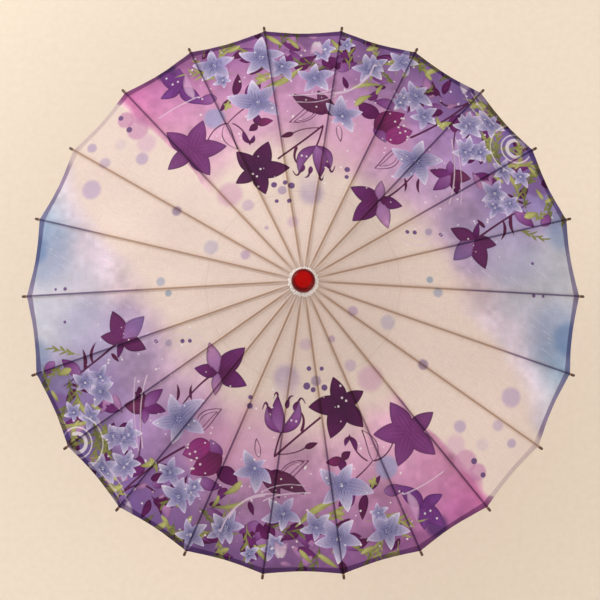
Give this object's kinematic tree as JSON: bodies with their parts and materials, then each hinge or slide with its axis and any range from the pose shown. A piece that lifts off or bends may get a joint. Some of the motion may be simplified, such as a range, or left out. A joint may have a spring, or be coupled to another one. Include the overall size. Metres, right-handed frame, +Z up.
{
  "type": "oil paper parasol",
  "caption": "Folding hand parasol with a painted translucent canopy on bamboo ribs and struts, a sliding runner on a bamboo shaft, a turned handle and a lacquered crown knob.",
  "frame": {"origin": "middle of the handle's flat end face", "axes": "+Z up along the shaft towards the crown knob; +Y and +X level, +Y down the middle of a canopy panel"},
  "size_m": [0.8446, 0.8362, 0.5488],
  "materials": {
    "canopy_cloth": "oiled translucent cloth with a hand-painted flower print",
    "collar_paper": "oiled white paper",
    "knob_lacquer": "high-gloss red lacquer",
    "handle_wood": "dark stained, satin lacquer",
    "shaft_bamboo": "varnished bamboo",
    "rib_bamboo": "split bamboo, plain",
    "strut_bamboo": "split bamboo, plain",
    "turned_wood": "turned and slotted hardwood, stained",
    "steel": "drawn wire",
    "catch_steel": "bent spring steel"
  },
  "bodies": {
    "frame": {"shaft": "shaft_bamboo", "top_hub": "turned_wood", "hub_tie_wire": "steel", "hub_pin": "steel", "runner_stop_pin": "steel", "catch_pin": "steel", "catch_spring": "catch_steel", "canopy": "canopy_cloth", "crown_collar": "collar_paper", "crown_knob": "knob_lacquer", "handle_grip": "handle_wood", "handle_end_cap": "handle_wood"},
    "runner": {"runner": "turned_wood"},
    "catch": {"catch": "catch_steel"},
    "rib_01": {"rib_01": "rib_bamboo"},
    "strut_01": {"strut_01": "strut_bamboo"},
    "rib_02": {"rib_02": "rib_bamboo"},
    "strut_02": {"strut_02": "strut_bamboo"},
    "rib_03": {"rib_03": "rib_bamboo"},
    "strut_03": {"strut_03": "strut_bamboo"},
    "rib_04": {"rib_04": "rib_bamboo"},
    "strut_04": {"strut_04": "strut_bamboo"},
    "rib_05": {"rib_05": "rib_bamboo"},
    "strut_05": {"strut_05": "strut_bamboo"},
    "rib_06": {"rib_06": "rib_bamboo"},
    "strut_06": {"strut_06": "strut_bamboo"},
    "rib_07": {"rib_07": "rib_bamboo"},
    "strut_07": {"strut_07": "strut_bamboo"},
    "rib_08": {"rib_08": "rib_bamboo"},
    "strut_08": {"strut_08": "strut_bamboo"},
    "rib_09": {"rib_09": "rib_bamboo"},
    "strut_09": {"strut_09": "strut_bamboo"},
    "rib_10": {"rib_10": "rib_bamboo"},
    "strut_10": {"strut_10": "strut_bamboo"},
    "rib_11": {"rib_11": "rib_bamboo"},
    "strut_11": {"strut_11": "strut_bamboo"},
    "rib_12": {"rib_12": "rib_bamboo"},
    "strut_12": {"strut_12": "strut_bamboo"},
    "rib_13": {"rib_13": "rib_bamboo"},
    "strut_13": {"strut_13": "strut_bamboo"},
    "rib_14": {"rib_14": "rib_bamboo"},
    "strut_14": {"strut_14": "strut_bamboo"},
    "rib_15": {"rib_15": "rib_bamboo"},
    "strut_15": {"strut_15": "strut_bamboo"},
    "rib_16": {"rib_16": "rib_bamboo"},
    "strut_16": {"strut_16": "strut_bamboo"},
    "rib_17": {"rib_17": "rib_bamboo"},
    "strut_17": {"strut_17": "strut_bamboo"},
    "rib_18": {"rib_18": "rib_bamboo"},
    "strut_18": {"strut_18": "strut_bamboo"},
    "rib_19": {"rib_19": "rib_bamboo"},
    "strut_19": {"strut_19": "strut_bamboo"},
    "rib_20": {"rib_20": "rib_bamboo"},
    "strut_20": {"strut_20": "strut_bamboo"},
    "rib_21": {"rib_21": "rib_bamboo"},
    "strut_21": {"strut_21": "strut_bamboo"},
    "rib_22": {"rib_22": "rib_bamboo"},
    "strut_22": {"strut_22": "strut_bamboo"}
  },
  "joints": [
    {"name": "runner_slide", "type": "slide", "parent": "frame", "child": "runner", "axis": [0, 0, -1], "range_m": [0, 0.16485], "deforming": ["canopy"]},
    {"name": "catch_press", "type": "hinge", "parent": "frame", "child": "catch", "pos_m": [0.0015, 0, 0.3395], "axis": [0, -1, 0], "range_deg": [0, 5], "stiffness_Nm_per_rad": 1.2, "springref_deg": -3.44, "deforming": ["catch_spring"]},
    {"name": "rib_fold_01", "type": "hinge", "parent": "frame", "child": "rib_01", "pos_m": [0.00213, 0.01485, 0.52], "axis": [-0.9898, 0.1423, 0], "range_deg": [0, 65.6]},
    {"name": "strut_fold_01", "type": "hinge", "parent": "rib_01", "child": "strut_01", "pos_m": [0.01955, 0.13599, 0.47055], "axis": [-0.9898, 0.1423, 0], "range_deg": [-131.2, 0]},
    {"name": "rib_fold_02", "type": "hinge", "parent": "frame", "child": "rib_02", "pos_m": [0.00623, 0.01364, 0.52], "axis": [-0.9096, 0.4154, 0], "range_deg": [0, 65.6]},
    {"name": "strut_fold_02", "type": "hinge", "parent": "rib_02", "child": "strut_02", "pos_m": [0.05707, 0.12497, 0.47055], "axis": [-0.9096, 0.4154, 0], "range_deg": [-131.2, 0]},
    {"name": "rib_fold_03", "type": "hinge", "parent": "frame", "child": "rib_03", "pos_m": [0.00982, 0.01134, 0.52], "axis": [-0.7557, 0.6549, 0], "range_deg": [0, 65.6]},
    {"name": "strut_fold_03", "type": "hinge", "parent": "rib_03", "child": "strut_03", "pos_m": [0.08997, 0.10383, 0.47055], "axis": [-0.7557, 0.6549, 0], "range_deg": [-131.2, 0]},
    {"name": "rib_fold_04", "type": "hinge", "parent": "frame", "child": "rib_04", "pos_m": [0.01262, 0.00811, 0.52], "axis": [-0.5406, 0.8413, 0], "range_deg": [0, 65.6]},
    {"name": "strut_fold_04", "type": "hinge", "parent": "rib_04", "child": "strut_04", "pos_m": [0.11558, 0.07428, 0.47055], "axis": [-0.5406, 0.8413, 0], "range_deg": [-131.2, 0]},
    {"name": "rib_fold_05", "type": "hinge", "parent": "frame", "child": "rib_05", "pos_m": [0.01439, 0.00423, 0.52], "axis": [-0.2817, 0.9595, 0], "range_deg": [0, 65.6]},
    {"name": "strut_fold_05", "type": "hinge", "parent": "rib_05", "child": "strut_05", "pos_m": [0.13182, 0.03871, 0.47055], "axis": [-0.2817, 0.9595, 0], "range_deg": [-131.2, 0]},
    {"name": "rib_fold_06", "type": "hinge", "parent": "frame", "child": "rib_06", "pos_m": [0.015, 0, 0.52], "axis": [0, 1, 0], "range_deg": [0, 65.6]},
    {"name": "strut_fold_06", "type": "hinge", "parent": "rib_06", "child": "strut_06", "pos_m": [0.13739, 0, 0.47055], "axis": [0, 1, 0], "range_deg": [-131.2, 0]},
    {"name": "rib_fold_07", "type": "hinge", "parent": "frame", "child": "rib_07", "pos_m": [0.01439, -0.00423, 0.52], "axis": [0.2817, 0.9595, 0], "range_deg": [0, 65.6]},
    {"name": "strut_fold_07", "type": "hinge", "parent": "rib_07", "child": "strut_07", "pos_m": [0.13182, -0.03871, 0.47055], "axis": [0.2817, 0.9595, 0], "range_deg": [-131.2, 0]},
    {"name": "rib_fold_08", "type": "hinge", "parent": "frame", "child": "rib_08", "pos_m": [0.01262, -0.00811, 0.52], "axis": [0.5406, 0.8413, 0], "range_deg": [0, 65.6]},
    {"name": "strut_fold_08", "type": "hinge", "parent": "rib_08", "child": "strut_08", "pos_m": [0.11558, -0.07428, 0.47055], "axis": [0.5406, 0.8413, 0], "range_deg": [-131.2, 0]},
    {"name": "rib_fold_09", "type": "hinge", "parent": "frame", "child": "rib_09", "pos_m": [0.00982, -0.01134, 0.52], "axis": [0.7557, 0.6549, 0], "range_deg": [0, 65.6]},
    {"name": "strut_fold_09", "type": "hinge", "parent": "rib_09", "child": "strut_09", "pos_m": [0.08997, -0.10383, 0.47055], "axis": [0.7557, 0.6549, 0], "range_deg": [-131.2, 0]},
    {"name": "rib_fold_10", "type": "hinge", "parent": "frame", "child": "rib_10", "pos_m": [0.00623, -0.01364, 0.52], "axis": [0.9096, 0.4154, 0], "range_deg": [0, 65.6]},
    {"name": "strut_fold_10", "type": "hinge", "parent": "rib_10", "child": "strut_10", "pos_m": [0.05707, -0.12497, 0.47055], "axis": [0.9096, 0.4154, 0], "range_deg": [-131.2, 0]},
    {"name": "rib_fold_11", "type": "hinge", "parent": "frame", "child": "rib_11", "pos_m": [0.00213, -0.01485, 0.52], "axis": [0.9898, 0.1423, 0], "range_deg": [0, 65.6]},
    {"name": "strut_fold_11", "type": "hinge", "parent": "rib_11", "child": "strut_11", "pos_m": [0.01955, -0.13599, 0.47055], "axis": [0.9898, 0.1423, 0], "range_deg": [-131.2, 0]},
    {"name": "rib_fold_12", "type": "hinge", "parent": "frame", "child": "rib_12", "pos_m": [-0.00213, -0.01485, 0.52], "axis": [0.9898, -0.1423, 0], "range_deg": [0, 65.6]},
    {"name": "strut_fold_12", "type": "hinge", "parent": "rib_12", "child": "strut_12", "pos_m": [-0.01955, -0.13599, 0.47055], "axis": [0.9898, -0.1423, 0], "range_deg": [-131.2, 0]},
    {"name": "rib_fold_13", "type": "hinge", "parent": "frame", "child": "rib_13", "pos_m": [-0.00623, -0.01364, 0.52], "axis": [0.9096, -0.4154, 0], "range_deg": [0, 65.6]},
    {"name": "strut_fold_13", "type": "hinge", "parent": "rib_13", "child": "strut_13", "pos_m": [-0.05707, -0.12497, 0.47055], "axis": [0.9096, -0.4154, 0], "range_deg": [-131.2, 0]},
    {"name": "rib_fold_14", "type": "hinge", "parent": "frame", "child": "rib_14", "pos_m": [-0.00982, -0.01134, 0.52], "axis": [0.7557, -0.6549, 0], "range_deg": [0, 65.6]},
    {"name": "strut_fold_14", "type": "hinge", "parent": "rib_14", "child": "strut_14", "pos_m": [-0.08997, -0.10383, 0.47055], "axis": [0.7557, -0.6549, 0], "range_deg": [-131.2, 0]},
    {"name": "rib_fold_15", "type": "hinge", "parent": "frame", "child": "rib_15", "pos_m": [-0.01262, -0.00811, 0.52], "axis": [0.5406, -0.8413, 0], "range_deg": [0, 65.6]},
    {"name": "strut_fold_15", "type": "hinge", "parent": "rib_15", "child": "strut_15", "pos_m": [-0.11558, -0.07428, 0.47055], "axis": [0.5406, -0.8413, 0], "range_deg": [-131.2, 0]},
    {"name": "rib_fold_16", "type": "hinge", "parent": "frame", "child": "rib_16", "pos_m": [-0.01439, -0.00423, 0.52], "axis": [0.2817, -0.9595, 0], "range_deg": [0, 65.6]},
    {"name": "strut_fold_16", "type": "hinge", "parent": "rib_16", "child": "strut_16", "pos_m": [-0.13182, -0.03871, 0.47055], "axis": [0.2817, -0.9595, 0], "range_deg": [-131.2, 0]},
    {"name": "rib_fold_17", "type": "hinge", "parent": "frame", "child": "rib_17", "pos_m": [-0.015, 0, 0.52], "axis": [0, -1, 0], "range_deg": [0, 65.6]},
    {"name": "strut_fold_17", "type": "hinge", "parent": "rib_17", "child": "strut_17", "pos_m": [-0.13739, 0, 0.47055], "axis": [0, -1, 0], "range_deg": [-131.2, 0]},
    {"name": "rib_fold_18", "type": "hinge", "parent": "frame", "child": "rib_18", "pos_m": [-0.01439, 0.00423, 0.52], "axis": [-0.2817, -0.9595, 0], "range_deg": [0, 65.6]},
    {"name": "strut_fold_18", "type": "hinge", "parent": "rib_18", "child": "strut_18", "pos_m": [-0.13182, 0.03871, 0.47055], "axis": [-0.2817, -0.9595, 0], "range_deg": [-131.2, 0]},
    {"name": "rib_fold_19", "type": "hinge", "parent": "frame", "child": "rib_19", "pos_m": [-0.01262, 0.00811, 0.52], "axis": [-0.5406, -0.8413, 0], "range_deg": [0, 65.6]},
    {"name": "strut_fold_19", "type": "hinge", "parent": "rib_19", "child": "strut_19", "pos_m": [-0.11558, 0.07428, 0.47055], "axis": [-0.5406, -0.8413, 0], "range_deg": [-131.2, 0]},
    {"name": "rib_fold_20", "type": "hinge", "parent": "frame", "child": "rib_20", "pos_m": [-0.00982, 0.01134, 0.52], "axis": [-0.7557, -0.6549, 0], "range_deg": [0, 65.6]},
    {"name": "strut_fold_20", "type": "hinge", "parent": "rib_20", "child": "strut_20", "pos_m": [-0.08997, 0.10383, 0.47055], "axis": [-0.7557, -0.6549, 0], "range_deg": [-131.2, 0]},
    {"name": "rib_fold_21", "type": "hinge", "parent": "frame", "child": "rib_21", "pos_m": [-0.00623, 0.01364, 0.52], "axis": [-0.9096, -0.4154, 0], "range_deg": [0, 65.6]},
    {"name": "strut_fold_21", "type": "hinge", "parent": "rib_21", "child": "strut_21", "pos_m": [-0.05707, 0.12497, 0.47055], "axis": [-0.9096, -0.4154, 0], "range_deg": [-131.2, 0]},
    {"name": "rib_fold_22", "type": "hinge", "parent": "frame", "child": "rib_22", "pos_m": [-0.00213, 0.01485, 0.52], "axis": [-0.9898, -0.1423, 0], "range_deg": [0, 65.6]},
    {"name": "strut_fold_22", "type": "hinge", "parent": "rib_22", "child": "strut_22", "pos_m": [-0.01955, 0.13599, 0.47055], "axis": [-0.9898, -0.1423, 0], "range_deg": [-131.2, 0]}
  ],
  "couplings": [
    {"joint": "rib_fold_01", "follows": "runner_slide", "rad_per_m": 6.9346},
    {"joint": "strut_fold_01", "follows": "runner_slide", "rad_per_m": -13.869},
    {"joint": "rib_fold_02", "follows": "runner_slide", "rad_per_m": 6.9346},
    {"joint": "strut_fold_02", "follows": "runner_slide", "rad_per_m": -13.869},
    {"joint": "rib_fold_03", "follows": "runner_slide", "rad_per_m": 6.9346},
    {"joint": "strut_fold_03", "follows": "runner_slide", "rad_per_m": -13.869},
    {"joint": "rib_fold_04", "follows": "runner_slide", "rad_per_m": 6.9346},
    {"joint": "strut_fold_04", "follows": "runner_slide", "rad_per_m": -13.869},
    {"joint": "rib_fold_05", "follows": "runner_slide", "rad_per_m": 6.9346},
    {"joint": "strut_fold_05", "follows": "runner_slide", "rad_per_m": -13.869},
    {"joint": "rib_fold_06", "follows": "runner_slide", "rad_per_m": 6.9346},
    {"joint": "strut_fold_06", "follows": "runner_slide", "rad_per_m": -13.869},
    {"joint": "rib_fold_07", "follows": "runner_slide", "rad_per_m": 6.9346},
    {"joint": "strut_fold_07", "follows": "runner_slide", "rad_per_m": -13.869},
    {"joint": "rib_fold_08", "follows": "runner_slide", "rad_per_m": 6.9346},
    {"joint": "strut_fold_08", "follows": "runner_slide", "rad_per_m": -13.869},
    {"joint": "rib_fold_09", "follows": "runner_slide", "rad_per_m": 6.9346},
    {"joint": "strut_fold_09", "follows": "runner_slide", "rad_per_m": -13.869},
    {"joint": "rib_fold_10", "follows": "runner_slide", "rad_per_m": 6.9346},
    {"joint": "strut_fold_10", "follows": "runner_slide", "rad_per_m": -13.869},
    {"joint": "rib_fold_11", "follows": "runner_slide", "rad_per_m": 6.9346},
    {"joint": "strut_fold_11", "follows": "runner_slide", "rad_per_m": -13.869},
    {"joint": "rib_fold_12", "follows": "runner_slide", "rad_per_m": 6.9346},
    {"joint": "strut_fold_12", "follows": "runner_slide", "rad_per_m": -13.869},
    {"joint": "rib_fold_13", "follows": "runner_slide", "rad_per_m": 6.9346},
    {"joint": "strut_fold_13", "follows": "runner_slide", "rad_per_m": -13.869},
    {"joint": "rib_fold_14", "follows": "runner_slide", "rad_per_m": 6.9346},
    {"joint": "strut_fold_14", "follows": "runner_slide", "rad_per_m": -13.869},
    {"joint": "rib_fold_15", "follows": "runner_slide", "rad_per_m": 6.9346},
    {"joint": "strut_fold_15", "follows": "runner_slide", "rad_per_m": -13.869},
    {"joint": "rib_fold_16", "follows": "runner_slide", "rad_per_m": 6.9346},
    {"joint": "strut_fold_16", "follows": "runner_slide", "rad_per_m": -13.869},
    {"joint": "rib_fold_17", "follows": "runner_slide", "rad_per_m": 6.9346},
    {"joint": "strut_fold_17", "follows": "runner_slide", "rad_per_m": -13.869},
    {"joint": "rib_fold_18", "follows": "runner_slide", "rad_per_m": 6.9346},
    {"joint": "strut_fold_18", "follows": "runner_slide", "rad_per_m": -13.869},
    {"joint": "rib_fold_19", "follows": "runner_slide", "rad_per_m": 6.9346},
    {"joint": "strut_fold_19", "follows": "runner_slide", "rad_per_m": -13.869},
    {"joint": "rib_fold_20", "follows": "runner_slide", "rad_per_m": 6.9346},
    {"joint": "strut_fold_20", "follows": "runner_slide", "rad_per_m": -13.869},
    {"joint": "rib_fold_21", "follows": "runner_slide", "rad_per_m": 6.9346},
    {"joint": "strut_fold_21", "follows": "runner_slide", "rad_per_m": -13.869},
    {"joint": "rib_fold_22", "follows": "runner_slide", "rad_per_m": 6.9346},
    {"joint": "strut_fold_22", "follows": "runner_slide", "rad_per_m": -13.869}
  ]
}
